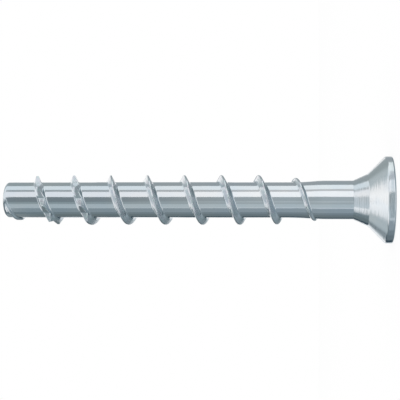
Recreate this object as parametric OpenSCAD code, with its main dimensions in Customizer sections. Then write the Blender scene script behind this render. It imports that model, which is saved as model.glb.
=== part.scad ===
// Concrete screw with a countersunk head, a six-lobe socket and a coarse cutting thread.
// The head face lies on z = 0, the axis is Z and the tip points up.

/* [Overall] */
// Length from the head face to the tip
length = 80; // [65:1:150]

/* [Head] */
// Diameter of the head
head_d = 17.85; // [15:0.05:22]
// Height of the straight rim
rim_h = 1.4; // [0.6:0.05:2]
// Radius that rounds the edge of the head face
rim_round = 0.25; // [0.1:0.05:0.3]
// Radius that rounds the edge between rim and seat
seat_round = 0.6; // [0.2:0.05:0.8]
// Included angle of the countersunk seat
seat_angle = 90; // [80:1:100]
// Diameter where the seat meets the neck
neck_d = 10.65; // [9.5:0.05:12.5]
// Included angle of the neck
neck_angle = 48; // [36:1:60]

/* [Socket] */
// Diameter across the tips of the six lobes
socket_d = 6.75; // [5.6:0.05:7]
// Diameter across the waists between the lobes
socket_waist = 4.85; // [4.6:0.05:5]
// Radius of a lobe's tip
lobe_r = 0.55; // [0.5:0.01:0.6]
// Depth of the lobed walls
socket_depth = 3.4; // [2:0.1:4]
// Depth of the cone at the socket's bottom
socket_cone = 0.9; // [0.4:0.1:1.2]
// Width of the chamfer round the socket's mouth
socket_chamfer = 0.2; // [0.1:0.05:0.4]

/* [Shank] */
// Diameter of the smooth shank
shank_d = 7.95; // [7.5:0.05:8.2]
// Length of the smooth shank
shank_len = 6.5; // [3:0.1:12]
// Length of the taper from the shank to the core
taper_len = 4.6; // [2:0.1:8]
// Diameter of the core
core_d = 7.4; // [7:0.05:7.5]
// Radius of the rounded tip edge
tip_round = 0.95; // [0.5:0.05:1.2]

/* [Thread] */
// Diameter over the thread
thread_d = 10.3; // [9.6:0.05:11]
// Diameter over the toothed turns at the tip
lead_d = 10.5; // [9.6:0.05:11]
// Distance from one turn to the next
pitch = 7.7; // [6:0.05:10]
// Width of the crest
crest_w = 0.3; // [0.15:0.05:0.5]
// Width of the thread where its flanks reach the core
root_w = 1.7; // [1.6:0.05:2.6]
// Height of the flare that fills the root
root_flare = 0.22; // [0.1:0.02:0.4]
// Distance from the tip to the middle of the thread's first tooth
start_gap = 1.5; // [0.8:0.05:2]
// Direction of the thread's start about the axis
start_angle = 230.5; // [0:0.5:360]
// Length over which the thread rises from the tip
run_in = 7.2; // [5:0.1:14]
// Length over which the thread fades towards the head
run_out = 11.8; // [6:0.1:16]
// Plain length between the neck and the end of the thread
thread_gap = 4.5; // [1:0.1:8]

/* [Cutting teeth] */
// Number of teeth cut into the crest
tooth_count = 17; // [4:1:32]
// Number of teeth in each turn
teeth_per_turn = 8; // [6:1:12]
// Share of a tooth's pitch over which its notch deepens
ramp_share = 0.59; // [0.4:0.01:0.7]
// Depth of a notch where its ramp meets the next tooth's face
notch_depth = 0.92; // [0.3:0.02:0.96]
// Share of the thread's full height from which notches are cut
notch_from = 0.38; // [0.2:0.02:0.6]

/* [Hidden] */
zinc = [0.78, 0.81, 0.84];
revolve_sides = 96;
lobes = 6;
lobe_steps = 6;
waist_steps = 4;
round_steps = 4;
cut_margin = 1;

// Heights along the axis, from the head face
seat_h = (head_d - neck_d) / 2 / tan(seat_angle / 2);
neck_h = (neck_d - shank_d) / 2 / tan(neck_angle / 2);
neck_z = rim_h + seat_h;
shank_z = neck_z + neck_h;
taper_z = shank_z + shank_len;
core_z = taper_z + taper_len;
thread_end_z = shank_z + thread_gap;

// Thread values: angles run along the helix from its start at the tip
ring_step = 7.5;
tooth_pitch = 360 / teeth_per_turn;
land_share = 0.02;
notch_ramp = tooth_pitch * ramp_share;
tooth_face = tooth_pitch * (1 - ramp_share - land_share);
notch_fade = 0.12;
teeth_end = (tooth_count - 1) * tooth_pitch;
lead_blend = 90;
sunk_depth = 0.2;
end_height = 0.07;
flare_reach = 0.3;
low_width = 0.35;
low_crest = 0.5;
tip_overlap = 0.15;
tip_slope = 0.5;

function clamp01(x) = max(0, min(1, x));
function mix(a, b, t) = a + (b - a) * t;
function arc(centre, r, from, to, steps) =
    [for (i = [0 : steps]) let (t = mix(from, to, i / steps)) centre + r * [cos(t), sin(t)]];

// Outline of the turned blank, as radius and height
function blank_outline() = concat(
    [[0, 0]],
    arc([head_d / 2 - rim_round, rim_round], rim_round, -90, 0, round_steps),
    arc([head_d / 2 - seat_round, rim_h - seat_round * tan(seat_angle / 4)],
        seat_round, 0, seat_angle / 2, round_steps),
    [[neck_d / 2, neck_z],
     [shank_d / 2, shank_z],
     [shank_d / 2, taper_z],
     [core_d / 2, core_z]],
    arc([core_d / 2 - tip_round, length - tip_round], tip_round, 0, 90, round_steps),
    [[0, length]]);

// Six-lobe outline: lobe arcs and waist arcs that meet on a common tangent
function waist_r() =
    let (a = socket_d / 2 - lobe_r, b = socket_waist / 2, c = cos(180 / lobes))
    (lobe_r * lobe_r - a * a - b * b + 2 * a * b * c) / (2 * (b - a * c - lobe_r));

function socket_outline() =
    let (half = 180 / lobes,
         lobe_at = socket_d / 2 - lobe_r,
         waist_at = socket_waist / 2 + waist_r(),
         toward = waist_at * [cos(half), sin(half)] - [lobe_at, 0],
         swing = atan2(toward.y, toward.x),
         waist_swing = half + 180 - (swing + 180))
    [for (k = [0 : lobes - 1])
        let (turn = k * 2 * half, next = turn + half)
        each concat(
            arc(lobe_at * [cos(turn), sin(turn)], lobe_r, turn - swing, turn + swing, lobe_steps),
            [for (i = [1 : waist_steps - 1])
                let (t = next + 180 + mix(-1, 1, i / waist_steps) * waist_swing)
                waist_at * [cos(next), sin(next)] + waist_r() * [cos(t), sin(t)]])];

// Radius of the plain blank at a height that the thread passes
function root_r(z) = mix(shank_d, core_d, clamp01((z - taper_z) / taper_len)) / 2;

function helix_z(a) = length - start_gap - pitch * a / 360;
function thread_share(z) = min(1, (length - z) / run_in, (z - thread_end_z) / run_out);
function full_d(a) = mix(lead_d, thread_d, clamp01((a - teeth_end) / lead_blend));
function thread_h(a) = thread_share(helix_z(a)) * (full_d(a) - core_d) / 2;
end_a = (length - start_gap - thread_end_z - end_height * run_out) / pitch * 360;

// Share of a notch's depth that a flat cut takes away at t, over an angle from the crest to its deepest line
function flat_cut(angle, t) =
    let (top = lead_d / 2, low = top - notch_depth)
    (top - top * low * sin(angle) / (top * sin(angle * t) + low * sin(angle * (1 - t)))) / notch_depth;

// Angles along the helix, each with the share of the notch's depth that is cut there
function toothed_rings() =
    [for (k = [0 : tooth_count - 2])
        let (face = k * tooth_pitch, ramp = face + tooth_pitch - notch_ramp)
        each concat(
            k == 0 ? [] : [[face + tooth_face / 2, flat_cut(tooth_face, 0.5)]],
            [[face + tooth_face, 0]],
            [for (t = [0, 1 / 3, 2 / 3, 1]) [ramp + notch_ramp * t, flat_cut(notch_ramp, t)]])];

function plain_rings() =
    let (from = teeth_end + tooth_face, steps = ceil((end_a - from) / ring_step))
    concat([[teeth_end + tooth_face / 2, flat_cut(tooth_face, 0.5)]],
           [for (i = [0 : steps]) [mix(from, end_a, i / steps), 0]]);

// One section of the thread: a point is given by radius, helix angle and offset along the axis
function thread_point(r, a, offset) =
    let (turn = start_angle - a)
    [r * cos(turn), r * sin(turn), helix_z(a) + offset];

// Height at which the rounded tip cuts the thread off, by radius
function tip_limit(r) = length - tip_round + tip_overlap + (core_d / 2 - r) * tip_slope;

function thread_section(a, cut) =
    let (z = helix_z(a),
         share = thread_share(z),
         base_r = root_r(z),
         height = thread_h(a),
         notched = cut * clamp01((share - notch_from) / notch_fade),
         level = 1 - notched * notch_depth / ((lead_d - core_d) / 2),
         root_half = root_w / 2 * mix(low_width, 1, share),
         crest_half = min(root_half, crest_w / 2 + (1 - share) * low_crest * root_w / 4),
         top_half = mix(root_half, crest_half, level),
         flare = min(root_flare, height * level / 2),
         flare_half = mix(root_half, crest_half, flare / height),
         sunk_half = flare_half + flare_reach * (flare + sunk_depth) / root_flare,
         sunk_r = base_r - sunk_depth,
         flare_r = base_r + flare,
         top_r = base_r + height * level)
    [thread_point(sunk_r, a, -sunk_half),
     thread_point(flare_r, a, -flare_half),
     thread_point(top_r, a, -top_half),
     thread_point(top_r, a, min(top_half, tip_limit(top_r) - z)),
     thread_point(flare_r, a, min(flare_half, tip_limit(flare_r) - z)),
     thread_point(sunk_r, a, min(sunk_half, tip_limit(sunk_r) - z))];

// The same section drawn down under the blank's surface, to close an end of the thread
function sunk_section(a) =
    let (z = helix_z(a), r = root_r(z), w = crest_w / 2)
    [for (p = [[2, -w], [1.5, -w], [1, -w], [1, w], [1.5, w], [2, w]])
        thread_point(r - p[0] * sunk_depth, a, p[1])];

module thread() {
    rings = concat(
        [sunk_section(0)],
        [for (ring = concat(toothed_rings(), plain_rings())) thread_section(ring[0], ring[1])],
        [sunk_section(end_a + ring_step)]);
    sides = len(rings[0]);
    last = len(rings) - 1;
    points = [for (ring = rings) each ring];
    walls = [for (i = [0 : last - 1], j = [0 : sides - 1])
        let (here = i * sides, next = here + sides, side = (j + 1) % sides)
        [here + j, next + j, next + side, here + side]];
    start = [for (j = [0 : sides - 1]) j];
    end = [for (j = [sides - 1 : -1 : 0]) last * sides + j];
    polyhedron(points, concat([start], walls, [end]), convexity = 10);
}

module turned_blank() {
    rotate_extrude($fn = revolve_sides) polygon(blank_outline());
}

module drive_socket() {
    translate([0, 0, -cut_margin])
        linear_extrude(socket_depth + cut_margin) polygon(socket_outline());
    translate([0, 0, socket_depth])
        cylinder(h = socket_cone, d1 = socket_waist - lobe_r, d2 = lobe_r, $fn = revolve_sides);
    mouth_d = socket_d + 2 * socket_chamfer;
    translate([0, 0, -cut_margin])
        cylinder(h = cut_margin + 2 * socket_chamfer,
                 d1 = mouth_d + 2 * cut_margin,
                 d2 = mouth_d - 4 * socket_chamfer,
                 $fn = revolve_sides);
}

module screw() {
    color(zinc) union() {
        difference() {
            turned_blank();
            drive_socket();
        }
        thread();
    }
}

screw();
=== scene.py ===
"""Concrete screw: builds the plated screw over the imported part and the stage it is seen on."""
from collections import namedtuple
from math import atan2, ceil, cos, pi, radians, sin, tan

import bmesh
import bpy
import numpy as np
from bpy.props import FloatProperty, FloatVectorProperty, IntProperty, PointerProperty
from mathutils import Matrix, Vector


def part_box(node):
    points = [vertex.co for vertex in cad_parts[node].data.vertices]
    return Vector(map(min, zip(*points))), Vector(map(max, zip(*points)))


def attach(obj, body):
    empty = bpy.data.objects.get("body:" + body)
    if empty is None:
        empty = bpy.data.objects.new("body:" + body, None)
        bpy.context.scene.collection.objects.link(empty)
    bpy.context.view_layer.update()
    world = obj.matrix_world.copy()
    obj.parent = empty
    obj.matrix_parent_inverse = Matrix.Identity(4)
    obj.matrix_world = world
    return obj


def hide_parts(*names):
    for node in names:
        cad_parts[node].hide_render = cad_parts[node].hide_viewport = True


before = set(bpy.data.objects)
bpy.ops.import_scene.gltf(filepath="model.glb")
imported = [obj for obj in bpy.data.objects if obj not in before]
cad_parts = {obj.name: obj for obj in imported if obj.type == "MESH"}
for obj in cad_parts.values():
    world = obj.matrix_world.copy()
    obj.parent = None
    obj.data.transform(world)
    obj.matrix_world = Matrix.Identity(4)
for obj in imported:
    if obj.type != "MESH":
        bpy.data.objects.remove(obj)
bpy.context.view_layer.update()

bl_info = {
    "name": "Concrete screw",
    "version": (1, 0, 0),
    "blender": (4, 5, 0),
    "location": "View3D > Sidebar > Screw",
    "description": "Builds a zinc plated concrete screw and the stage it is seen on",
    "category": "Object",
}

MM = 0.001
SCREW_LOW, SCREW_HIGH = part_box("screw")
CAD_HEAD_D = 2 * min(-SCREW_LOW[0], SCREW_HIGH[0]) / MM
CAD_LENGTH = (SCREW_HIGH[2] - SCREW_LOW[2]) / MM

# Fineness of the mesh: a grid of columns round the axis, each a stack of rows from the tip to the socket
COLUMNS = 240
COLUMN_STEP = 2 * pi / COLUMNS
START_REACH = 3 * COLUMN_STEP
ARC_LENGTH = 0.1 * MM
ARC_STEPS_LEAST = 3
SUPPORT_REACH = 0.08 * MM
LONG_STRAIGHT = 4 * SUPPORT_REACH
MERGE_DISTANCE = 0.0001 * MM
SHARP_ANGLE = radians(38)
LOBES = 6
# Shares of a thread's crest and flank that a rounding may take, and steps along the roundings
CREST_SHARE = 0.8
UPPER_FLANK = 0.25
LOWER_FLANK = 0.45
FLANK_SUPPORT = 0.15
CREST_STEPS = (0, 0.5, 1)
ROOT_STEPS = (0, 0.25, 0.5, 0.75, 1)


def size(name, mm, description):
    """A length property with its default given in millimetres."""
    return FloatProperty(name=name, description=description, default=mm * MM, unit="LENGTH", precision=5)


def angle(name, degrees, description):
    """An angle property with its default given in degrees."""
    return FloatProperty(name=name, description=description, default=radians(degrees), unit="ROTATION")


def share(name, default, description):
    """A property between nothing and all."""
    return FloatProperty(name=name, description=description, default=default, min=0, max=1,
                         subtype="FACTOR")


def colour(name, default, description):
    """A linear colour property."""
    return FloatVectorProperty(name=name, description=description, default=default, size=3, min=0, max=2,
                               subtype="COLOR")


class ScrewHead(bpy.types.PropertyGroup):
    head_d: size("Head diameter", CAD_HEAD_D, "Diameter over the straight rim")
    rim_h: size("Rim height", 1.4, "Height of the straight rim")
    rim_round: size("Rim rounding", 0.25, "Radius that rounds the edge of the head face")
    seat_round: size("Seat rounding", 0.6, "Radius that rounds the edge between rim and seat")
    seat_angle: angle("Seat angle", 90, "Included angle of the countersunk seat")
    neck_d: size("Neck diameter", 10.65, "Diameter where the seat meets the neck")
    neck_angle: angle("Neck angle", 48, "Included angle of the neck")
    neck_round: size("Neck rounding", 0.3, "Radius in the corners at both ends of the neck")


class ScrewSocket(bpy.types.PropertyGroup):
    across_lobes: size("Across lobes", 6.75, "Diameter across the tips of the six lobes")
    across_waists: size("Across waists", 4.85, "Diameter across the waists between the lobes")
    lobe_r: size("Lobe radius", 0.55, "Radius of a lobe's tip")
    depth: size("Depth", 3.4, "Depth of the lobed walls")
    cone: size("Cone depth", 0.9, "Depth of the cone at the socket's bottom")
    chamfer: size("Chamfer", 0.2, "Width of the chamfer round the socket's mouth")


class ScrewShank(bpy.types.PropertyGroup):
    length: size("Length", CAD_LENGTH, "Length from the head face to the tip")
    shank_d: size("Shank diameter", 7.95, "Diameter of the smooth shank")
    shank_len: size("Shank length", 6.5, "Length of the smooth shank")
    taper_len: size("Taper length", 4.6, "Length of the taper from the shank to the core")
    core_d: size("Core diameter", 7.4, "Diameter of the core between the turns")
    tip_round: size("Tip rounding", 0.7, "Radius of the rounded tip edge")


class ScrewThread(bpy.types.PropertyGroup):
    thread_d: size("Thread diameter", 10.3, "Diameter over the plain turns")
    lead_d: size("Lead diameter", 10.5, "Diameter over the toothed turns at the tip")
    pitch: size("Pitch", 7.7, "Distance from one turn to the next")
    crest_w: size("Crest width", 0.3, "Width of the crest")
    lead_crest: size("Lead crest width", 0.42, "Width of the crest on the toothed turns")
    root_w: size("Root width", 1.7, "Width of the thread where its flanks reach the core")
    crest_round: size("Crest rounding", 0.12, "Reach of the rounding at the crest's edges")
    root_round: size("Root rounding", 0.24, "Reach of the hollow rounding at the roots")
    start_gap: size("Start gap", 1.5, "Distance from the tip to the middle of the first tooth")
    start_angle: angle("Start angle", 230.5, "Direction of the thread's start about the axis")
    run_up: angle("Run up", 47, "Angle of the low ridge that leads to the thread's start")
    low_rise: share("Low rise", 0.16, "Height of that ridge, as a share of the full height")
    run_in: size("Run in", 7.2, "Length over which the thread rises from the tip")
    run_out: size("Run out", 11.8, "Length over which the thread fades towards the head")
    end_gap: size("End gap", 4.5, "Plain length between the neck and the end of the thread")
    low_width: share("Low width", 0.15, "Width of the root where the thread is lowest, as a share")


class ScrewTeeth(bpy.types.PropertyGroup):
    count: IntProperty(name="Teeth", description="Number of teeth cut into the crest", default=17, min=2)
    per_turn: IntProperty(name="Teeth in a turn", description="Number of teeth in each turn", default=8,
                          min=4)
    ramp_share: share("Ramp share", 0.57, "Share of a tooth's pitch over which its notch deepens")
    land_share: share("Land share", 0.02, "Share of a tooth's pitch that its crest keeps")
    first_notch: share("First notch", 0.33, "Height of the thread from which notches are cut, as a share")
    notch_fade: share("Notch fade", 0.125, "Rise over which notches reach their depth, as a share")
    notch_depth: size("Notch depth", 1.14, "Depth of a notch where its ramp meets the next tooth's face")
    lip: size("Notch lip", 0.06, "Height of the raised lip along a notch's edges")
    lead_blend: angle("Lead blend", 90, "Angle over which the lead diameter falls to the thread diameter")


class ZincFinish(bpy.types.PropertyGroup):
    blue_zinc: colour("Blue zinc", (0.77, 0.815, 0.855), "Colour of the plating where it is bluish")
    grey_zinc: colour("Grey zinc", (0.82, 0.84, 0.855), "Colour of the plating where it is neutral")
    green_tint: colour("Green tint", (0.755, 0.82, 0.825), "Greenish sheen in patches on the thread")
    purple_tint: colour("Purple tint", (0.82, 0.805, 0.85), "Purplish sheen in patches on the thread")
    gloss: share("Roughness", 0.1, "Roughness of the smooth plating")
    thread_gloss: share("Thread roughness", 0.15, "Roughness of the rolled thread")
    flank_gloss: share("Flank roughness", 0.34, "Roughness of the thread's flanks that face the head")
    seat_gloss: share("Seat roughness", 0.17, "Roughness of the turned seat")
    neck_gloss: share("Neck roughness", 0.16, "Roughness of the turned neck")
    rim_gloss: share("Rim roughness", 0.13, "Roughness of the rim and the head face")
    streak_depth: size("Streak depth", 0.0035, "Depth of the streaks along the core")
    ring_depth: size("Ring depth", 0.025, "Depth of the turned rings on the head")
    mottle_depth: size("Mottle depth", 0.03, "Depth of the mottling on the thread")


class ScrewSettings(bpy.types.PropertyGroup):
    head: PointerProperty(type=ScrewHead, name="Head", description="Sizes of the head")
    socket: PointerProperty(type=ScrewSocket, name="Socket", description="Sizes of the drive socket")
    shank: PointerProperty(type=ScrewShank, name="Shank", description="Sizes of the shank and core")
    thread: PointerProperty(type=ScrewThread, name="Thread", description="Sizes of the thread")
    teeth: PointerProperty(type=ScrewTeeth, name="Teeth", description="Sizes of the cutting teeth")
    finish: PointerProperty(type=ZincFinish, name="Finish", description="Colours and marks of the plating")


class StageSettings(bpy.types.PropertyGroup):
    camera_distance: size("Camera distance", 200, "Distance from the camera to the screw's axis")
    camera_height: size("Camera height", 21.75, "Height of the camera along the screw's axis")
    aim_height: size("Aim height", 31.46, "Height on the axis that the camera faces")
    view_angle: angle("View angle", 23.36, "Angle that the picture spans")
    picture_shift: FloatProperty(name="Picture shift", default=-0.097,
                                 description="Sideways shift of the picture, as a share of its width")
    floor_width: size("Floor width", 900, "Width of the pale floor")
    floor_gap: size("Floor gap", 0.02, "Distance that keeps the floor's face clear of the head's face")
    card_radius: size("Card radius", 200, "Distance from the axis to the reflection cards")
    card_low: size("Card foot", -45, "Height of the cards' lower edge")
    card_middle: size("Card middle", 35, "Height from which the cards' elevations are measured")
    lamp_size: size("Lamp size", 300, "Width of the lamp's face")
    lamp_height: size("Lamp height", 500, "Height of the lamp over the head face")
    lamp_level: FloatProperty(name="Lamp level", description="Brightness of the lamp's face",
                              default=1.1, min=0)
    world_level: FloatProperty(name="World level", description="Brightness of the soft light all round",
                               default=0.85, min=0)


# Heights along the axis, worked out from the sizes
Heights = namedtuple("Heights", "rim neck shank taper thread_end tip_ring shank_ring")


def screw_heights(screw):
    """Heights where one stretch of the screw ends and the next begins."""
    head, shank = screw.head, screw.shank
    neck = head.rim_h + (head.head_d - head.neck_d) / 2 / tan(head.seat_angle / 2)
    shank_z = neck + (head.neck_d - shank.shank_d) / 2 / tan(head.neck_angle / 2)
    return Heights(
        rim=head.rim_h,
        neck=neck,
        shank=shank_z,
        taper=shank_z + shank.shank_len,
        thread_end=shank_z + screw.thread.end_gap,
        tip_ring=shank.length - shank.tip_round,
        shank_ring=shank_z + head.neck_round,
    )


def mix(a, b, t):
    """The value at share t of the way from a to b."""
    return a + (b - a) * t


def bend(first, corner, last, t):
    """Point at t on the curve that leaves first towards corner and arrives at last."""
    return (1 - t) ** 2 * first + 2 * t * (1 - t) * corner + t * t * last


def rounded_outline(corners):
    """Points of a turned outline through (radius, height, rounding) corners."""
    points = []
    for i, (r, z, rounding) in enumerate(corners):
        here = Vector((r, z))
        if not rounding:
            points.append(here)
            continue
        before = (Vector(corners[i - 1][:2]) - here).normalized()
        after = (Vector(corners[i + 1][:2]) - here).normalized()
        half = before.angle(after) / 2
        reach = rounding / tan(half)
        centre = here + (before + after).normalized() * rounding / sin(half)
        first = (here + before * reach - centre).normalized()
        last = (here + after * reach - centre).normalized()
        steps = max(ARC_STEPS_LEAST, ceil(first.angle(last) * rounding / ARC_LENGTH))
        points += [centre + first.slerp(last, k / steps) * rounding for k in range(steps + 1)]
    return points


def supported(points):
    """The outline with a point close to both ends of each long straight, to keep its shading flat."""
    result = [points[0]]
    for here, there in zip(points, points[1:]):
        along = there - here
        if along.length > LONG_STRAIGHT:
            step = along.normalized() * SUPPORT_REACH
            result += [here + step, there - step]
        result.append(there)
    return result


def tip_rows(screw, z):
    """Rows from the middle of the tip, without it, to the ring where the core begins."""
    core_r, length = screw.shank.core_d / 2, screw.shank.length
    corners = [(0, length, 0), (core_r, length, screw.shank.tip_round), (core_r, z.tip_ring - MM, 0)]
    return supported(rounded_outline(corners)[:-1])[1:]


def head_rows(screw, z):
    """Rows from the ring at the shank's end, without it, over neck, seat and rim to the socket's mouth."""
    head, shank_r = screw.head, screw.shank.shank_d / 2
    corners = [
        (shank_r, z.shank_ring, 0),
        (shank_r, z.shank, head.neck_round),
        (head.neck_d / 2, z.neck, head.neck_round),
        (head.head_d / 2, z.rim, head.seat_round),
        (head.head_d / 2, 0, head.rim_round),
        (mouth_radius(screw.socket), 0, 0),
    ]
    return supported(rounded_outline(corners))[1:]


def mouth_radius(socket):
    """Radius of the socket's mouth, outside its chamfer."""
    return socket.across_lobes / 2 + socket.chamfer


def lobed_radius(socket, turn):
    """Radius of the six-lobe wall in each direction: lobe and waist arcs that meet on a common tangent."""
    half = pi / LOBES
    lobe_r, waist = socket.lobe_r, socket.across_waists / 2
    lobe_at = socket.across_lobes / 2 - lobe_r
    waist_r = ((lobe_r ** 2 - lobe_at ** 2 - waist ** 2 + 2 * lobe_at * waist * cos(half))
               / (2 * (waist - lobe_at * cos(half) - lobe_r)))
    waist_at = waist + waist_r
    swing = atan2(waist_at * sin(half), waist_at * cos(half) - lobe_at)
    meeting = atan2(lobe_r * sin(swing), lobe_at + lobe_r * cos(swing))
    from_lobe = np.abs((turn + half) % (2 * half) - half)
    from_waist = half - from_lobe
    on_lobe = lobe_at * np.cos(from_lobe) + np.sqrt(
        np.maximum(lobe_r ** 2 - (lobe_at * np.sin(from_lobe)) ** 2, 0))
    on_waist = waist_at * np.cos(from_waist) - np.sqrt(
        np.maximum(waist_r ** 2 - (waist_at * np.sin(from_waist)) ** 2, 0))
    return np.where(from_lobe < meeting, on_lobe, on_waist)


def socket_rows(socket, turn):
    """Rows from the mouth's chamfer down the lobed wall to the bottom cone, as pairs of arrays."""
    wall = lobed_radius(socket, turn)
    same = np.ones_like(wall)
    edge = 0.5 * SUPPORT_REACH
    mouth = mouth_radius(socket)
    ledge = np.maximum(mouth - 2 * socket.chamfer, wall + edge)
    ledge_z = mouth - ledge
    cone_r = (socket.across_waists - socket.lobe_r) / 2
    bottom = socket.depth + socket.cone
    return [
        (ledge, ledge_z),
        (wall + edge, ledge_z + edge / 4),
        (wall, ledge_z + edge),
        (wall, mix(ledge_z, socket.depth, 0.5)),
        (wall, (socket.depth - edge) * same),
        (wall - edge, socket.depth * same),
        (cone_r * same, socket.depth * same),
        (mix(cone_r, socket.lobe_r / 2, 0.5) * same, (socket.depth + socket.cone / 2) * same),
        (socket.lobe_r / 2 * same, bottom * same),
    ]


def root_radius(screw, z, height):
    """Radius of the plain blank at a height that the thread passes."""
    down = np.clip((height - z.taper) / screw.shank.taper_len, 0, 1)
    return mix(screw.shank.shank_d, screw.shank.core_d, down) / 2


def helix_height(screw, along):
    """Height of the crest at an angle along the helix from the thread's start."""
    return screw.shank.length - screw.thread.start_gap - screw.thread.pitch * along / (2 * pi)


def flat_cut(screw, before, span):
    """Share of a notch's depth that a flat cut takes away at an angle before its deepest line."""
    depth = screw.teeth.notch_depth
    top = screw.thread.lead_d / 2
    low = top - depth
    left = np.clip(before, 0, span)
    return (top - top * low * sin(span) / (top * np.sin(span - left) + low * np.sin(left))) / depth


def tooth_spacing(teeth):
    """Angle from one tooth to the next."""
    return 2 * pi / teeth.per_turn


def last_tooth(teeth):
    """Angle along the helix from the first tooth to the last."""
    return (teeth.count - 1) * tooth_spacing(teeth)


def notch_cut(screw, along):
    """Share of a notch's depth that is cut away at an angle along the helix."""
    teeth = screw.teeth
    spacing = tooth_spacing(teeth)
    within = np.mod(along, spacing)
    ramp = flat_cut(screw, spacing - within, spacing * teeth.ramp_share)
    face = flat_cut(screw, within, spacing * (1 - teeth.ramp_share - teeth.land_share))
    end = last_tooth(teeth)
    after_end = np.where(along < end + spacing / 2, face, 0)
    return np.where(along < end, np.maximum(ramp, face), after_end)


def thread_rise(screw, z, along):
    """Height of the thread before it is notched, as a share of the full height."""
    thread = screw.thread
    crest_z = helix_height(screw, along)
    rise = np.minimum(np.maximum((screw.shank.length - crest_z) / thread.run_in, thread.low_rise),
                      (crest_z - z.thread_end) / thread.run_out)
    started = (along + thread.run_up) / START_REACH
    return np.clip(rise, 0, 1) * np.clip(started, 0, 1)


def thread_section(screw, z, along):
    """Half widths and heights of the thread's section: top half, root half, top height and lip height."""
    thread, teeth, core_d = screw.thread, screw.teeth, screw.shank.core_d
    rise = thread_rise(screw, z, along)
    after_teeth = np.clip((along - last_tooth(teeth)) / teeth.lead_blend, 0, 1)
    full_d = mix(thread.lead_d, thread.thread_d, after_teeth)
    cut = notch_cut(screw, along) * np.clip((rise - teeth.first_notch) / teeth.notch_fade, 0, 1)
    level = 1 - cut * teeth.notch_depth / ((thread.lead_d - core_d) / 2)
    root_half = thread.root_w / 2 * mix(thread.low_width, 1, rise)
    crest_w = mix(thread.lead_crest, thread.crest_w, after_teeth)
    crest_half = np.minimum(root_half, crest_w / 2)
    top_half = mix(root_half, crest_half, level)
    top_h = rise * (full_d - core_d) / 2 * level
    return top_half, root_half, top_h, cut * teeth.lip


def ridge_height(offset, top_half, root_half, top_h):
    """Height of the thread's section with plain flanks, at an offset along the axis."""
    return top_h * np.clip((root_half - np.abs(offset)) / (root_half - top_half + MERGE_DISTANCE), 0, 1)


def thread_side(screw, top_half, root_half, top_h, lip):
    """Points of one side of the section from the crest's middle to the core, as (offset, height) arrays."""
    thread = screw.thread
    flank = np.hypot(root_half - top_half, top_h) + MERGE_DISTANCE
    down = (root_half - top_half) / flank, -top_h / flank
    crest_room = np.minimum(top_half * CREST_SHARE, flank * UPPER_FLANK)
    crest_reach = np.minimum(thread.crest_round, crest_room) - lip
    root_reach = np.minimum(thread.root_round, flank * LOWER_FLANK)
    core_start = root_half + root_reach
    crest_on = top_half + down[0] * crest_reach, top_h + down[1] * crest_reach
    root_on = root_half - down[0] * root_reach, -down[1] * root_reach
    nothing = np.zeros_like(top_half)
    lip_at = top_half - crest_reach
    floor = np.maximum(lip_at - crest_reach, lip_at / 2)
    lip_h = top_h + lip
    points = [(nothing, top_h), (floor * CREST_SHARE, top_h), (floor, top_h)]
    for t in CREST_STEPS:
        points.append((bend(lip_at, top_half, crest_on[0], t), bend(lip_h, lip_h, crest_on[1], t)))
    points.append(tuple(mix(high, low, FLANK_SUPPORT) for high, low in zip(crest_on, root_on)))
    for t in ROOT_STEPS:
        points.append((bend(root_on[0], root_half, core_start, t), bend(root_on[1], 0, 0, t)))
    points.append((core_start + SUPPORT_REACH, nothing))
    points.append((mix(core_start, thread.pitch / 2, 0.5), nothing))
    return points


def tip_ridge(screw, z, height):
    """Height of the thread's low start on the rounded edge of the tip, for the rows at these heights."""
    columns = np.arange(COLUMNS) * COLUMN_STEP
    ridges = []
    for along in (columns - 2 * pi, columns):
        top_half, root_half, top_h, _ = (part[:, None] for part in thread_section(screw, z, along))
        offset = height - helix_height(screw, along)[:, None]
        ridges.append(ridge_height(offset, top_half, root_half, top_h))
    return np.maximum(*ridges)


def thread_band(screw, z):
    """Radius and height of the helical rows, one array row for each column, and the rows in one turn."""
    thread = screw.thread
    span = screw.shank.length - thread.start_gap + thread.pitch / 2 - z.shank_ring
    turns = np.arange(-1, ceil(span / thread.pitch))
    along = (np.arange(COLUMNS) * COLUMN_STEP)[:, None] + 2 * pi * turns[None, :]
    side = thread_side(screw, *thread_section(screw, z, along))
    towards_tip = [(np.full_like(along, thread.pitch / 2), np.zeros_like(along))] + side[:0:-1]
    towards_head = [(-offset, height) for offset, height in side[1:]]
    rows = towards_tip + side[:1] + towards_head
    offsets = np.stack([row[0] for row in rows], axis=2)
    heights = np.stack([row[1] for row in rows], axis=2)
    middle = helix_height(screw, along)[:, :, None]
    place = np.clip(middle + offsets, z.shank_ring, z.tip_ring)
    cut_off = tip_ridge(screw, z, np.full((COLUMNS, 1), z.tip_ring))[:, :, None]
    radius = root_radius(screw, z, place) + np.where(middle + offsets > z.tip_ring, cut_off, heights)
    return radius.reshape(COLUMNS, -1), place.reshape(COLUMNS, -1), len(rows)


def spread(outline):
    """Turned rows as the same pair of arrays in each column."""
    return [(np.full(COLUMNS, r), np.full(COLUMNS, z)) for r, z in outline]


def stack_rows(rows):
    """Radius and height arrays of (radius, height) rows, one array row for each column."""
    return np.stack([row[0] for row in rows], axis=1), np.stack([row[1] for row in rows], axis=1)


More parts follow.
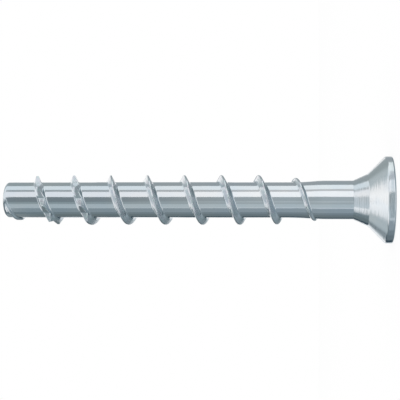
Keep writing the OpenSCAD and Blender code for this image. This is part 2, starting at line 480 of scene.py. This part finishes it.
def grid_faces(tip_count, band_count, head_count, turn_count):
    """Quads between neighbouring columns; at the seam a turn meets the next turn of the first column."""
    rows = tip_count + band_count + head_count
    row = np.arange(rows - 1)
    column = np.arange(COLUMNS - 1)[:, None] * rows
    inner = np.stack([column + row, column + row + 1, column + rows + row + 1, column + rows + row], axis=2)
    last = (COLUMNS - 1) * rows
    band = tip_count + np.arange(band_count - turn_count - 1)
    plain = np.concatenate([np.arange(tip_count), tip_count + band_count - 1 + np.arange(head_count)])
    seam_plain = np.stack([last + plain, last + plain + 1, plain + 1, plain], axis=1)
    seam_band = np.stack([last + band, last + band + 1, band + turn_count + 1, band + turn_count], axis=1)
    return np.concatenate([inner.reshape(-1, 4), seam_plain, seam_band])


def screw_mesh(screw):
    """One closed mesh of the whole screw."""
    z = screw_heights(screw)
    turn = screw.thread.start_angle - np.arange(COLUMNS) * COLUMN_STEP
    tip_r, tip_z = stack_rows(spread(tip_rows(screw, z)))
    tip_r = tip_r + tip_ridge(screw, z, tip_z)
    band_r, band_z, turn_count = thread_band(screw, z)
    head_r, head_z = stack_rows(spread(head_rows(screw, z)) + socket_rows(screw.socket, turn))
    radius = np.concatenate([tip_r, band_r, head_r], axis=1)
    height = np.concatenate([tip_z, band_z, head_z], axis=1)
    points = np.stack([radius * np.cos(turn)[:, None], radius * np.sin(turn)[:, None], height], axis=2)
    poles = [(0, 0, screw.shank.length), (0, 0, screw.socket.depth + screw.socket.cone)]
    faces = grid_faces(tip_r.shape[1], band_r.shape[1], head_r.shape[1], turn_count).tolist()
    rows = radius.shape[1]
    first = np.arange(COLUMNS) * rows
    pole = COLUMNS * rows
    for here, there in zip(first, np.roll(first, -1)):
        faces.append([pole, int(here), int(there)])
        faces.append([pole + 1, int(there) + rows - 1, int(here) + rows - 1])
    mesh = bpy.data.meshes.new("plated_screw")
    mesh.from_pydata(points.reshape(-1, 3).tolist() + poles, [], faces)
    return closed_mesh(mesh)


def closed_mesh(mesh):
    """Joins the points that lie on each other, faces outwards and shades smooth except over sharp edges."""
    work = bmesh.new()
    work.from_mesh(mesh)
    bmesh.ops.remove_doubles(work, verts=work.verts, dist=MERGE_DISTANCE)
    bmesh.ops.dissolve_degenerate(work, dist=MERGE_DISTANCE, edges=work.edges)
    bmesh.ops.recalc_face_normals(work, faces=work.faces)
    open_edges = sum(not edge.is_manifold for edge in work.edges)
    work.to_mesh(mesh)
    work.free()
    if open_edges:
        raise RuntimeError(f"The screw's mesh has {open_edges} open edges")
    mesh.shade_smooth()
    mesh.set_sharp_from_angle(angle=SHARP_ANGLE)
    return mesh


def new_material(name):
    """A material with an empty node tree and its output node."""
    material = bpy.data.materials.new(name)
    material.use_nodes = True
    material.node_tree.nodes.clear()
    return material, material.node_tree, material.node_tree.nodes.new("ShaderNodeOutputMaterial")


def add_node(tree, kind, links=None, **values):
    """A node with its plain settings and input values, and its inputs linked from other sockets."""
    node = tree.nodes.new(f"ShaderNode{kind}")
    for key, value in values.items():
        if hasattr(node, key):
            setattr(node, key, value)
        else:
            node.inputs[key].default_value = value
    for key, source in (links or {}).items():
        tree.links.new(source, node.inputs[key])
    return node


def feed(tree, slot, value):
    """Links a socket to a node's input, or sets the input to a plain value."""
    if isinstance(value, bpy.types.NodeSocket):
        tree.links.new(value, slot)
    else:
        slot.default_value = value


def rgba(tone):
    """A colour as an opaque shader value."""
    return (*tone, 1)


def math(tree, operation, a, b):
    """Result of a sum on two values, each a socket or a number."""
    node = add_node(tree, "Math", operation=operation)
    for slot, value in zip(node.inputs, (a, b)):
        feed(tree, slot, value)
    return node.outputs[0]


def weighed_sum(tree, start, terms):
    """The start value and each socket times its weight, added up."""
    total = start
    for value, weight in terms:
        total = math(tree, "ADD", total, math(tree, "MULTIPLY", value, weight))
    return total


def step_between(tree, value, low, high):
    """A smooth step from 0 to 1 as value goes from low to high."""
    node = add_node(tree, "MapRange", {"Value": value}, interpolation_type="SMOOTHSTEP")
    node.inputs["From Min"].default_value = low
    node.inputs["From Max"].default_value = high
    return node.outputs["Result"]


def noise(tree, vector, stretch, detail=2.0):
    """Grains whose sizes along the three directions are given in metres."""
    scaled = add_node(tree, "VectorMath", {0: vector}, operation="MULTIPLY")
    scaled.inputs[1].default_value = [1 / grain for grain in stretch]
    texture = add_node(tree, "TexNoise", {"Vector": scaled.outputs[0]},
                       Scale=1.0, Detail=detail, Roughness=0.6)
    return texture.outputs["Fac"]


def blend(tree, factor, first, second):
    """The first colour where the factor is 0 and the second where it is 1, each a socket or plain values."""
    node = add_node(tree, "Mix", {"Factor": factor}, data_type="RGBA")
    for slot, value in zip(node.inputs[6:8], (first, second)):
        feed(tree, slot, value)
    return node.outputs[2]


SurfacePlace = namedtuple("SurfacePlace", "vector ring_vector radius height facing")


def surface_place(tree):
    """Places on the screw: the point, a vector for marks round a ring, radius, height and upward facing."""
    place = add_node(tree, "TexCoord")
    point = place.outputs["Object"]
    facing = add_node(tree, "SeparateXYZ", {"Vector": place.outputs["Normal"]}).outputs["Z"]
    parts = add_node(tree, "SeparateXYZ", {"Vector": point})
    across = math(tree, "ADD", math(tree, "POWER", parts.outputs["X"], 2.0),
                  math(tree, "POWER", parts.outputs["Y"], 2.0))
    radius = math(tree, "POWER", across, 0.5)
    ring = add_node(tree, "CombineXYZ", {"X": radius, "Y": parts.outputs["X"], "Z": parts.outputs["Z"]})
    return SurfacePlace(point, ring.outputs[0], radius, parts.outputs["Z"], facing)


# Widths over which one finish gives way to the next, at an edge, below the rim's edge and up the thread
FINISH_EDGE = 0.1 * MM
RIM_EDGE = 0.3 * MM
THREAD_EDGE = (0.05 * MM, 0.4 * MM)
# Sizes of the plating's grains along the three directions
STREAK_GRAIN = (0.35 * MM, 0.35 * MM, 9 * MM)
RING_GRAIN = (0.3 * MM, 6 * MM, 0.3 * MM)
MOTTLE_GRAIN = (0.5 * MM, 0.5 * MM, 0.5 * MM)
PATCH_GRAIN = (5 * MM, 5 * MM, 8 * MM)
SHEEN_GRAIN = (0.7 * MM, 0.7 * MM, 0.7 * MM)
FINE_DETAIL = 3.0
# Values of a grain between which one colour gives way to the other
PATCH_STEP = (0.35, 0.65)
SHEEN_STEP = (0.4, 0.6)
# Upward facing between which a flank turns into one that faces the head
HEAD_FACING = (-0.4, -0.7)
# Change of roughness with the mottling, whose values lie round their middle
MOTTLE_GLOSS = 0.1
GRAIN_MIDDLE = 0.5

FinishZones = namedtuple("FinishZones", "head core thread head_flank past_rim past_seat past_neck")


def finish_zones(tree, screw, place):
    """Shares of the finishes at a place, and the steps past rim, seat and neck."""
    z, shank_r = screw_heights(screw), screw.shank.shank_d / 2
    past_neck = step_between(tree, place.height, z.shank - FINISH_EDGE, z.shank + FINISH_EDGE)
    off_core = step_between(tree, place.radius, *(shank_r + reach for reach in THREAD_EDGE))
    thread = math(tree, "MULTIPLY", past_neck, off_core)
    to_head = step_between(tree, place.facing, *HEAD_FACING)
    return FinishZones(
        head=math(tree, "SUBTRACT", 1.0, past_neck),
        core=math(tree, "SUBTRACT", past_neck, thread),
        thread=thread,
        head_flank=math(tree, "MULTIPLY", thread, to_head),
        past_rim=step_between(tree, place.height, z.rim - RIM_EDGE, z.rim + FINISH_EDGE),
        past_seat=step_between(tree, place.height, z.neck - FINISH_EDGE, z.neck + FINISH_EDGE),
        past_neck=past_neck,
    )


def zinc_marks(tree, finish, place, zones, mottle):
    """Height of the fine marks: streaks on the core, turned rings on the head and mottling on the thread."""
    streaks = noise(tree, place.vector, STREAK_GRAIN)
    rings = noise(tree, place.ring_vector, RING_GRAIN, FINE_DETAIL)
    return weighed_sum(tree, 0.0, (
        (math(tree, "MULTIPLY", streaks, zones.core), finish.streak_depth),
        (math(tree, "MULTIPLY", rings, zones.head), finish.ring_depth),
        (math(tree, "MULTIPLY", mottle, zones.thread), finish.mottle_depth),
    ))


def zinc_gloss(tree, finish, zones, mottle):
    """Roughness from the rim over seat, neck and core to the thread and its flanks towards the head."""
    return weighed_sum(tree, finish.rim_gloss, (
        (zones.past_rim, finish.seat_gloss - finish.rim_gloss),
        (zones.past_seat, finish.neck_gloss - finish.seat_gloss),
        (zones.past_neck, finish.gloss - finish.neck_gloss),
        (zones.thread, finish.thread_gloss - finish.gloss),
        (zones.head_flank, finish.flank_gloss - finish.thread_gloss),
        (math(tree, "SUBTRACT", mottle, GRAIN_MIDDLE), MOTTLE_GLOSS),
    ))


def zinc_tint(tree, finish, place, zones):
    """Colour of the plating: wide blue and grey patches, and small green and purple ones on the thread."""
    patches = step_between(tree, noise(tree, place.vector, PATCH_GRAIN), *PATCH_STEP)
    sheen_patches = step_between(tree, noise(tree, place.vector, SHEEN_GRAIN), *SHEEN_STEP)
    plain = blend(tree, patches, rgba(finish.blue_zinc), rgba(finish.grey_zinc))
    sheen = blend(tree, sheen_patches, rgba(finish.green_tint), rgba(finish.purple_tint))
    return blend(tree, zones.thread, plain, sheen)


def zinc_material(screw):
    """Bright zinc plating with its marks, roughness and tints."""
    finish = screw.finish
    material, tree, output = new_material("zinc_plate")
    place = surface_place(tree)
    zones = finish_zones(tree, screw, place)
    mottle = noise(tree, place.vector, MOTTLE_GRAIN, FINE_DETAIL)
    marks = zinc_marks(tree, finish, place, zones, mottle)
    bump = add_node(tree, "Bump", {"Height": marks}, Strength=1.0, Distance=1.0)
    plating = add_node(
        tree, "BsdfPrincipled",
        {"Base Color": zinc_tint(tree, finish, place, zones),
         "Roughness": zinc_gloss(tree, finish, zones, mottle),
         "Normal": bump.outputs["Normal"]},
        Metallic=1.0)
    tree.links.new(plating.outputs[0], output.inputs["Surface"])
    return material


def link_object(name, data):
    """A new object in the scene."""
    obj = bpy.data.objects.new(name, data)
    bpy.context.scene.collection.objects.link(obj)
    return obj


class SCREW_OT_build_screw(bpy.types.Operator):
    """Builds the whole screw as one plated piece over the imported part"""
    bl_idname = "concrete_screw.build_screw"
    bl_label = "Build screw"

    def execute(self, context):
        screw = context.scene.concrete_screw
        piece = link_object("plated_screw", screw_mesh(screw))
        piece.data.materials.append(zinc_material(screw))
        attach(piece, "root")
        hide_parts("screw")
        return {"FINISHED"}


# Reflection cards round the screw: where each starts and ends, in degrees from the camera's side towards +X,
# its colours at the height of the head and at the height of the tip, the elevations between which it turns
# to its upper colour, and that colour
StudioCard = namedtuple("StudioCard", "name start end low high fade upper")
WHITE = (1, 1, 1)
UPPER_GREY = (0.48, 0.54, 0.56)
FRONT_GREY = (0.64, 0.69, 0.72)
STUDIO_CARDS = (
    StudioCard("back_white", 160, 208, WHITE, WHITE, (36, 52), UPPER_GREY),
    StudioCard("back_soft_above", 153, 160, (0.55, 0.59, 0.61), (0.52, 0.57, 0.59), (26, 44), UPPER_GREY),
    StudioCard("back_above", 102, 153, (0.35, 0.39, 0.41), (0.33, 0.38, 0.39), (26, 40), UPPER_GREY),
    StudioCard("top_sheet", 68, 102, (0.92, 0.97, 0.99), (0.77, 0.84, 0.87), (30, 60), WHITE),
    StudioCard("top_gap", 54, 68, (0.6, 0.61, 0.62), (0.37, 0.41, 0.43), (26, 40), WHITE),
    StudioCard("key_sheet", 19, 54, (1.08, 1.08, 1.08), (0.87, 0.89, 0.92), (26, 40), WHITE),
    StudioCard("front_dark", -8, 19, (0.41, 0.46, 0.48), (0.2, 0.24, 0.26), (26, 38), FRONT_GREY),
    StudioCard("front_thin", -14, -8, (0.52, 0.58, 0.6), (0.2, 0.25, 0.27), (26, 38), FRONT_GREY),
    StudioCard("front_mid", -26, -14, (0.41, 0.46, 0.48), (0.29, 0.35, 0.37), (26, 38), FRONT_GREY),
    StudioCard("front_pale", -47, -26, (0.48, 0.55, 0.58), (0.44, 0.51, 0.54), (26, 38), FRONT_GREY),
    StudioCard("low_thin", -54, -47, (0.58, 0.64, 0.68), (0.45, 0.52, 0.55), (26.5, 31), WHITE),
    StudioCard("low_slate", -85, -54, (0.29, 0.35, 0.39), (0.25, 0.31, 0.34), (26.5, 30), WHITE),
    StudioCard("low_dark", -104, -85, (0.2, 0.25, 0.28), (0.18, 0.23, 0.25), (40, 62), WHITE),
    StudioCard("back_below", -131, -104, (0.16, 0.2, 0.22), (0.15, 0.19, 0.2), (21, 36), UPPER_GREY),
    StudioCard("back_black", -152, -131, (0.05, 0.08, 0.1), (0.05, 0.08, 0.1), (21, 36), UPPER_GREY),
)
# Elevations between which each of them turns white
SKY_FADE = (65, 74)
# The sheet under the ring: its colours near the axis, far out and towards the camera, and where they change
FOOT_NEAR = (0.3, 0.37, 0.41)
FOOT_FAR = (0.18, 0.23, 0.25)
FOOT_FADE = (50 * MM, 110 * MM)
FOOT_FRONT = (0.95, 0.98, 1)
FOOT_FRONT_FADE = (-55 * MM, -95 * MM)
# Small cards before the ring: as the others, with radius, lower and upper edge in millimetres and one colour
NEAR_RING = 198
SmallCard = namedtuple("SmallCard", "name start end radius bottom top tone")
SMALL_CARDS = (
    SmallCard("low_back", 157, 185, NEAR_RING, -45, 12, (0.36, 0.4, 0.42)),
    SmallCard("seat_edge", 157, 176, NEAR_RING, 15, 45, WHITE),
    SmallCard("root_shade", 153, 178, NEAR_RING, 45, 100, (0.42, 0.47, 0.49)),
    SmallCard("rim_top", 80, 116, NEAR_RING, -45, -11, (0.87, 0.95, 0.96)),
    SmallCard("rim_gap", 54, 80, NEAR_RING, -45, -11, (0.5, 0.54, 0.58)),
    SmallCard("rim_key", 21, 54, NEAR_RING, -45, -11, (0.7, 0.76, 0.8)),
    SmallCard("rim_front", -47, 21, NEAR_RING, -45, -11, (0.34, 0.4, 0.43)),
    SmallCard("key_upper", 15, 68, 190, 205, 420, (0.7, 0.75, 0.78)),
    SmallCard("seat_key", -80, 80, 40, 150, 500, (1.1, 1.1, 1.1)),
    SmallCard("tip_front", -60, 15, 10, 86, 140, (0.2, 0.25, 0.27)),
    SmallCard("lobe_edge", 185, 208, NEAR_RING, -45, 20, (0.7, 0.75, 0.78)),
    SmallCard("tip_back", -178, -130, 10, 86, 140, (0.1, 0.14, 0.16)),
    SmallCard("tip_low", -130, -60, 10, 83, 140, (0.14, 0.18, 0.2)),
    SmallCard("seat_low", -141, -136, NEAR_RING, 106, 142, (0.36, 0.41, 0.43)),
    SmallCard("seat_lower", -146, -141, NEAR_RING, 86, 112, (0.43, 0.48, 0.5)),
    SmallCard("seat_lowest", -153, -146, NEAR_RING, 66, 92, (0.62, 0.67, 0.69)),
)
# Degrees between a card's corners, and the heights between which its low colour turns to its high one
CARD_STEP = 3
CARD_FADE = (0 * MM, 125 * MM)


def card_direction(degrees):
    """Unit vector across the axis: 0 looks at the camera and 90 points along +X."""
    return Vector((sin(radians(degrees)), -cos(radians(degrees)), 0))


def elevation_height(stage, degrees):
    """Height on the ring of cards that lies at an elevation as seen from the middle of the screw."""
    return stage.card_middle + stage.card_radius * tan(radians(degrees))


def show_glow(tree, output, tone):
    """Makes a sheet glow with a colour, which is a socket or plain values."""
    glow = add_node(tree, "Emission")
    feed(tree, glow.inputs["Color"], tone)
    tree.links.new(glow.outputs[0], output.inputs["Surface"])


def card_material(stage, card):
    """A glowing sheet whose colour goes from the head's height to the tip's, its upper colour and white."""
    material, tree, output = new_material(f"card_{card.name}")
    point = add_node(tree, "TexCoord").outputs["Object"]
    height = add_node(tree, "SeparateXYZ", {"Vector": point}).outputs["Z"]
    tone = blend(tree, step_between(tree, height, *CARD_FADE), rgba(card.low), rgba(card.high))
    for span, next_tone in ((card.fade, card.upper), (SKY_FADE, WHITE)):
        turned = step_between(tree, height, *(elevation_height(stage, degrees) for degrees in span))
        tone = blend(tree, turned, tone, rgba(next_tone))
    show_glow(tree, output, tone)
    return material


def plain_glow(name, tone):
    """A sheet that glows with one colour."""
    material, tree, output = new_material(name)
    show_glow(tree, output, rgba(tone))
    return material


def foot_material():
    """A glowing sheet whose colour changes with the distance from the axis and pales towards the camera."""
    material, tree, output = new_material("card_foot")
    point = add_node(tree, "TexCoord").outputs["Object"]
    level = add_node(tree, "VectorMath", {0: point}, operation="MULTIPLY")
    level.inputs[1].default_value = (1, 1, 0)
    distance = add_node(tree, "VectorMath", {0: level.outputs[0]}, operation="LENGTH").outputs["Value"]
    forward = add_node(tree, "SeparateXYZ", {"Vector": point}).outputs["Y"]
    tone = blend(tree, step_between(tree, distance, *FOOT_FADE), rgba(FOOT_NEAR), rgba(FOOT_FAR))
    tone = blend(tree, step_between(tree, forward, *FOOT_FRONT_FADE), tone, rgba(FOOT_FRONT))
    show_glow(tree, output, tone)
    return material


def only_in_reflections(obj):
    """Keeps a stage sheet out of the picture and the light, so that only the metal shows it."""
    obj.visible_camera = False
    obj.visible_diffuse = False
    obj.visible_shadow = False
    obj.visible_transmission = False


def card_ring(start, end, radius, bottom, top):
    """Corners and quads of an upright sheet bent round the axis."""
    steps = ceil((end - start) / CARD_STEP)
    points = []
    for k in range(steps + 1):
        way = card_direction(mix(start, end, k / steps)) * radius
        points += [way + Vector((0, 0, bottom)), way + Vector((0, 0, top))]
    return points, [(2 * k, 2 * k + 2, 2 * k + 3, 2 * k + 1) for k in range(steps)]


def card_foot(stage):
    """Corners and face of the sheet that closes the ring below."""
    middle = Vector((0, 0, stage.card_low))
    points = [middle + card_direction(k) * stage.card_radius for k in range(0, 360, CARD_STEP)]
    return points, [tuple(range(len(points)))]


def reflection_cards(stage):
    """Sheets that stand in a ring round the screw and close it below, seen only in the metal."""
    top = elevation_height(stage, SKY_FADE[1])
    sheets = []
    for card in STUDIO_CARDS:
        ring = card_ring(card.start, card.end, stage.card_radius, stage.card_low, top)
        sheets.append((ring, card_material(stage, card)))
    for card in SMALL_CARDS:
        ring = card_ring(card.start, card.end, card.radius * MM, card.bottom * MM, card.top * MM)
        sheets.append((ring, plain_glow(f"card_{card.name}", card.tone)))
    sheets.append((card_foot(stage), foot_material()))
    mesh = bpy.data.meshes.new("reflection_cards")
    points, faces, slots = [], [], []
    for slot, ((corners, quads), material) in enumerate(sheets):
        faces += [tuple(corner + len(points) for corner in quad) for quad in quads]
        slots += [slot] * len(quads)
        points += corners
        mesh.materials.append(material)
    mesh.from_pydata(points, [], faces)
    mesh.polygons.foreach_set("material_index", slots)
    cards = link_object("reflection_cards", mesh)
    only_in_reflections(cards)


# The floor: its matt colour, the strength of its glow and the glow's share where it is seen
FLOOR_TONE = (0.9, 0.9, 0.9)
FLOOR_GLOW = 1.04
FLOOR_GLOW_SHARE = 0.8
# The camera: the width of its sensor in millimetres and the nearest distance that it shows
SENSOR_WIDTH = 36
NEAR_CLIP = 10 * MM


def seen_directly(tree):
    """1 for rays that show a surface as it is: from the camera, in gloss or through glass."""
    rays = add_node(tree, "LightPath")
    seen = math(tree, "MAXIMUM", rays.outputs["Is Camera Ray"], rays.outputs["Is Glossy Ray"])
    return math(tree, "MAXIMUM", seen, rays.outputs["Is Transmission Ray"])


def pale_floor(stage):
    """A white floor that keeps a faint shadow and can be looked through from below."""
    half, level = stage.floor_width / 2, -stage.floor_gap
    corners = [(-half, -half, level), (half, -half, level), (half, half, level), (-half, half, level)]
    mesh = bpy.data.meshes.new("floor")
    mesh.from_pydata(corners, [], [(0, 1, 2, 3)])
    material, tree, output = new_material("pale_floor")
    matt = add_node(tree, "BsdfDiffuse", Color=rgba(FLOOR_TONE))
    glow = add_node(tree, "Emission", Color=rgba(WHITE), Strength=FLOOR_GLOW)
    share_of_glow = math(tree, "MULTIPLY", seen_directly(tree), FLOOR_GLOW_SHARE)
    above = add_node(tree, "MixShader", {0: share_of_glow, 1: matt.outputs[0], 2: glow.outputs[0]})
    from_below = add_node(tree, "NewGeometry").outputs["Backfacing"]
    clear = add_node(tree, "BsdfTransparent")
    surface = add_node(tree, "MixShader", {0: from_below, 1: above.outputs[0], 2: clear.outputs[0]})
    tree.links.new(surface.outputs[0], output.inputs["Surface"])
    mesh.materials.append(material)
    floor = link_object("floor", mesh)
    floor.visible_glossy = False


def white_world(stage):
    """White where it is seen, and soft even light elsewhere."""
    world = bpy.data.worlds.new("white_world")
    world.use_nodes = True
    tree = world.node_tree
    tree.nodes.clear()
    level = add_node(tree, "MapRange", {"Value": seen_directly(tree)}).outputs["Result"]
    level.node.inputs["To Min"].default_value = stage.world_level
    level.node.inputs["To Max"].default_value = 1.0
    light = add_node(tree, "Background", {"Strength": level}, Color=rgba(WHITE))
    output = tree.nodes.new("ShaderNodeOutputWorld")
    tree.links.new(light.outputs[0], output.inputs["Surface"])
    bpy.context.scene.world = world


def soft_lamp(stage):
    """A wide soft lamp over the tip."""
    data = bpy.data.lights.new("top_lamp", "AREA")
    data.shape = "DISK"
    data.size = stage.lamp_size
    data.energy = stage.lamp_level * pi * pi * (data.size / 2) ** 2
    lamp = link_object("top_lamp", data)
    lamp.location = (0, 0, stage.lamp_height)
    lamp.visible_glossy = False


def photo_camera(stage):
    """The camera at the photograph's place, with +X up in the picture and the head to the right."""
    data = bpy.data.cameras.new("camera")
    data.sensor_width = SENSOR_WIDTH
    data.lens_unit = "FOV"
    data.angle = stage.view_angle
    data.shift_x = stage.picture_shift
    data.clip_start = NEAR_CLIP
    camera = link_object("camera", data)
    place = Vector((0, -stage.camera_distance, stage.camera_height))
    forward = (Vector((0, 0, stage.aim_height)) - place).normalized()
    right = forward.cross(Vector((1, 0, 0))).normalized()
    up = right.cross(forward)
    turn = Matrix((right, up, -forward)).transposed()
    camera.matrix_world = Matrix.Translation(place) @ turn.to_4x4()
    bpy.context.scene.camera = camera


class SCREW_OT_set_stage(bpy.types.Operator):
    """Sets the floor, the light, the reflection cards and the camera"""
    bl_idname = "concrete_screw.set_stage"
    bl_label = "Set stage"

    def execute(self, context):
        stage = context.scene.concrete_screw_stage
        pale_floor(stage)
        white_world(stage)
        reflection_cards(stage)
        soft_lamp(stage)
        photo_camera(stage)
        context.scene.view_settings.view_transform = "Standard"
        return {"FINISHED"}


class SCREW_PT_panel(bpy.types.Panel):
    """Sizes and finish of the screw, and the steps that build it"""
    bl_idname = "SCREW_PT_panel"
    bl_label = "Concrete screw"
    bl_space_type = "VIEW_3D"
    bl_region_type = "UI"
    bl_category = "Screw"

    def draw(self, context):
        screw, stage = context.scene.concrete_screw, context.scene.concrete_screw_stage
        groups = (screw.head, screw.socket, screw.shank, screw.thread, screw.teeth, screw.finish, stage)
        for group in groups:
            box = self.layout.box()
            for name in group.__annotations__:
                box.prop(group, name)
        self.layout.operator(SCREW_OT_build_screw.bl_idname)
        self.layout.operator(SCREW_OT_set_stage.bl_idname)


CLASSES = (
    ScrewHead, ScrewSocket, ScrewShank, ScrewThread, ScrewTeeth, ZincFinish, ScrewSettings, StageSettings,
    SCREW_OT_build_screw, SCREW_OT_set_stage, SCREW_PT_panel,
)


def register():
    """Adds the classes and the scene's settings."""
    for item in CLASSES:
        bpy.utils.register_class(item)
    bpy.types.Scene.concrete_screw = PointerProperty(type=ScrewSettings)
    bpy.types.Scene.concrete_screw_stage = PointerProperty(type=StageSettings)


def unregister():
    """Takes the settings and the classes out again."""
    del bpy.types.Scene.concrete_screw_stage
    del bpy.types.Scene.concrete_screw
    for item in reversed(CLASSES):
        bpy.utils.unregister_class(item)


def main():
    """Builds the screw and its stage."""
    register()
    bpy.ops.concrete_screw.build_screw()
    bpy.ops.concrete_screw.set_stage()


if __name__ == "__main__":
    main()
